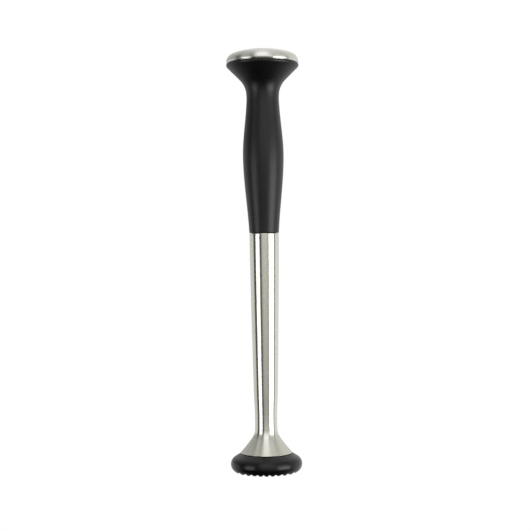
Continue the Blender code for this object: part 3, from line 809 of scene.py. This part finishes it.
def make_camera():
    data = bpy.data.cameras.new("camera")
    data.lens = LENS
    data.sensor_width = SENSOR_WIDTH
    data.clip_start, data.clip_end = CLIP
    camera = bpy.data.objects.new("camera", data)
    bpy.context.scene.collection.objects.link(camera)
    camera.location = (CAMERA_SIDE, -CAMERA_DISTANCE, CAMERA_HEIGHT)
    level = Matrix.Rotation(math.radians(90 + CAMERA_RAISE), 4, "X")
    roll = Matrix.Rotation(-math.radians(CAMERA_ROLL), 4, "Z")
    camera.rotation_euler = (level @ roll).to_euler()
    bpy.context.scene.camera = camera


def empty_tree(owner):
    """The node tree of a new material or world, without nodes."""
    owner.use_nodes = True
    owner.node_tree.nodes.clear()
    return owner.node_tree


def set_stops(ramp, stops, cool_from=math.inf):
    """Fills a colour ramp with greys: (place from 0 to 1, value). Those above cool_from are cooler."""
    ramp.elements.remove(ramp.elements[-1])
    for i, (place, value) in enumerate(stops):
        element = ramp.elements[0] if i == 0 else ramp.elements.new(place)
        element.position = place
        element.color = (value, value, value * (COOL if value > cool_from else 1), 1)


def make_world():
    """White for the camera. For the object, the surroundings in STUDIO."""
    world = bpy.data.worlds.new("studio")
    bpy.context.scene.world = world
    tree = empty_tree(world)
    add, link = tree.nodes.new, tree.links.new

    xyz = add("ShaderNodeSeparateXYZ")
    link(add("ShaderNodeTexCoord").outputs["Generated"], xyz.inputs[0])
    x, y, z = xyz.outputs
    turn = math_node(tree, "ARCTAN2", x, math_node(tree, "MULTIPLY", y, -1.0))
    azimuth = math_node(tree, "ADD", math_node(tree, "DIVIDE", turn, 2 * math.pi), 0.5)

    seen, below = None, None
    for height, stops in STUDIO.items():
        ramp = add("ShaderNodeValToRGB")
        shares = [((degrees + 180) / 360, value / BRIGHTEST) for degrees, value in stops.items()]
        set_stops(ramp.color_ramp, shares, COOL_FROM / BRIGHTEST)
        link(azimuth, ramp.inputs[0])
        if seen is None:
            seen = ramp.outputs[0]
        else:
            rise = add("ShaderNodeMapRange")
            rise.interpolation_type = "SMOOTHSTEP"
            rise.inputs["From Min"].default_value = math.sin(math.radians(below))
            rise.inputs["From Max"].default_value = math.sin(math.radians(height))
            link(z, rise.inputs["Value"])
            lower, upper, blended = mix_node(tree, rise.outputs[0])
            link(seen, lower)
            link(ramp.outputs[0], upper)
            seen = blended
        below = height

    for_object, for_camera, colour = mix_node(tree, add("ShaderNodeLightPath").outputs["Is Camera Ray"])
    link(seen, for_object)
    for_camera.default_value = (1 / BRIGHTEST, 1 / BRIGHTEST, 1 / BRIGHTEST, 1)
    background = add("ShaderNodeBackground")
    background.inputs["Strength"].default_value = BRIGHTEST
    link(colour, background.inputs["Color"])
    link(background.outputs[0], add("ShaderNodeOutputWorld").inputs["Surface"])


def panel_light(name, brightness):
    """A glow that changes with height as PANEL_SHARES says."""
    material = bpy.data.materials.new(name)
    tree = empty_tree(material)
    add, link = tree.nodes.new, tree.links.new
    xyz = add("ShaderNodeSeparateXYZ")
    link(add("ShaderNodeTexCoord").outputs["Object"], xyz.inputs[0])
    height = add("ShaderNodeMapRange")
    height.inputs["From Min"].default_value = PANEL_LOW
    height.inputs["From Max"].default_value = PANEL_HIGH
    link(xyz.outputs["Z"], height.inputs["Value"])
    share = add("ShaderNodeValToRGB")
    tall = PANEL_HIGH - PANEL_LOW
    set_stops(share.color_ramp, [((z - PANEL_LOW) / tall, value) for z, value in PANEL_SHARES.items()])
    link(height.outputs[0], share.inputs[0])
    light = add("ShaderNodeEmission")
    light.inputs["Strength"].default_value = brightness
    link(share.outputs[0], light.inputs["Color"])
    link(light.outputs[0], add("ShaderNodeOutputMaterial").inputs["Surface"])
    return material


def make_panel(name, span, brightness):
    """A lit panel, curved round the object's axis. The camera doesn't see it."""
    bm = bmesh.new()
    columns = []
    for k in range(PANEL_FACES + 1):
        angle = math.radians(span[0] + (span[1] - span[0]) * k / PANEL_FACES)
        x, y = PANEL_DISTANCE * math.sin(angle), -PANEL_DISTANCE * math.cos(angle)
        columns.append([bm.verts.new((x, y, z)) for z in (PANEL_LOW, PANEL_HIGH)])
    for a, b in zip(columns, columns[1:]):
        bm.faces.new((a[0], b[0], b[1], a[1]))
    panel = new_object(name, bm, panel_light(name, brightness))
    panel.visible_camera = False
    panel.visible_shadow = False


def make_floor():
    """A plain white floor that takes no shadow and isn't reflected. It shows from above only."""
    bm = bmesh.new()
    bmesh.ops.create_grid(bm, x_segments=1, y_segments=1, size=FLOOR_REACH)
    bmesh.ops.translate(bm, verts=bm.verts, vec=(0, 0, -FLOOR_DROP))

    material = bpy.data.materials.new("floor")
    tree = empty_tree(material)
    add, link = tree.nodes.new, tree.links.new
    choice = add("ShaderNodeMixShader")
    link(add("ShaderNodeNewGeometry").outputs["Backfacing"], choice.inputs[0])
    link(add("ShaderNodeEmission").outputs[0], choice.inputs[1])
    link(add("ShaderNodeBsdfTransparent").outputs[0], choice.inputs[2])
    link(choice.outputs[0], add("ShaderNodeOutputMaterial").inputs["Surface"])

    floor = new_object("floor", bm, material)
    floor.visible_diffuse = floor.visible_glossy = floor.visible_shadow = False


# ------------------------------------------------------------------------------------------------
# Everything together
# ------------------------------------------------------------------------------------------------

def make_materials():
    """The materials of the pieces. Each has a dark and a light tone."""
    return {
        "head_nylon": moulded(
            "head_nylon",
            dark=(0.0025, 0.0025, 0.0027),
            light=(0.004, 0.004, 0.0043),
            roughness=0.24,
            grain=0.25 * MM,
            grain_depth=0.01 * MM,
            specular=0.31,
        ),
        "rubber": moulded(
            "grip_rubber",
            dark=(0.002, 0.002, 0.0021),
            light=(0.0035, 0.0035, 0.0036),
            roughness=0.38,
            grain=0.16 * MM,
            grain_depth=0.02 * MM,
            specular=0.41,
        ),
        "shaft_steel": brushed_steel(
            "shaft_steel",
            dark=(0.62, 0.61, 0.53),
            light=(0.68, 0.67, 0.585),
            roughness=0.20,
            anisotropic=0.75,
        ),
        "cap_steel": brushed_steel(
            "cap_steel",
            dark=(0.65, 0.647, 0.595),
            light=(0.70, 0.697, 0.645),
            roughness=0.28,
            anisotropic=0.55,
        ),
        "core_plastic": moulded(
            "core_plastic",
            dark=(0.08, 0.08, 0.085),
            light=(0.11, 0.11, 0.115),
            roughness=0.5,
            grain=0.3 * MM,
            grain_depth=0.01 * MM,
        ),
        "silicone": moulded(
            "seal_silicone",
            dark=(0.26, 0.26, 0.27),
            light=(0.33, 0.33, 0.34),
            roughness=0.5,
            grain=0.2 * MM,
            grain_depth=0.008 * MM,
        ),
        "ring_nylon": moulded(
            "ring_nylon",
            dark=(0.45, 0.54, 0.64),
            light=(0.52, 0.60, 0.69),
            roughness=0.42,
            grain=0.2 * MM,
            grain_depth=0.008 * MM,
        ),
        "zinc": plated(
            "zinc_plate",
            dark=(0.52, 0.53, 0.55),
            light=(0.64, 0.65, 0.66),
            roughness=0.33,
            scale=900,
        ),
        "brass": plated(
            "insert_brass",
            dark=(0.66, 0.47, 0.20),
            light=(0.78, 0.58, 0.29),
            roughness=0.30,
            scale=700,
        ),
    }


def make_pieces():
    look = make_materials()
    core, zinc = look["core_plastic"], look["zinc"]
    inner = INNER_STEPS
    make_head(look["head_nylon"])
    turned("shaft_fine", "shaft", look["shaft_steel"], True, OUTER_ROUND)
    turned("grip_fine", "grip", look["rubber"], True, OUTER_ROUND)
    turned("top_cap_fine", "top_cap", look["cap_steel"], False, EDGE_ROUND)
    make_tie_rod(zinc)
    make_insert(look["brass"])
    make_nut(zinc)
    make_carrier(core)
    turned("handle_core_fine", "handle_core", core, True, EDGE_ROUND, inner)
    turned("rod_washer_fine", "rod_washer", zinc, True, WASHER_ROUND, inner)
    turned("lock_ring_fine", "nut_lock_ring", look["ring_nylon"], True, SMALL_ROUND, inner)
    for node in ("lower_seal", "upper_seal"):
        turned(
            node + "_fine",
            node,
            look["silicone"],
            True,
            SMALL_ROUND,
            inner,
            corner=SEAL_CORNER_ANGLE,
        )


make_camera()
make_world()
for panel_name, (span, brightness) in PANELS.items():
    make_panel(panel_name, span, brightness)
make_floor()
make_pieces()
bpy.context.scene.view_settings.view_transform = "Standard"

bpy.context.view_layer.update()
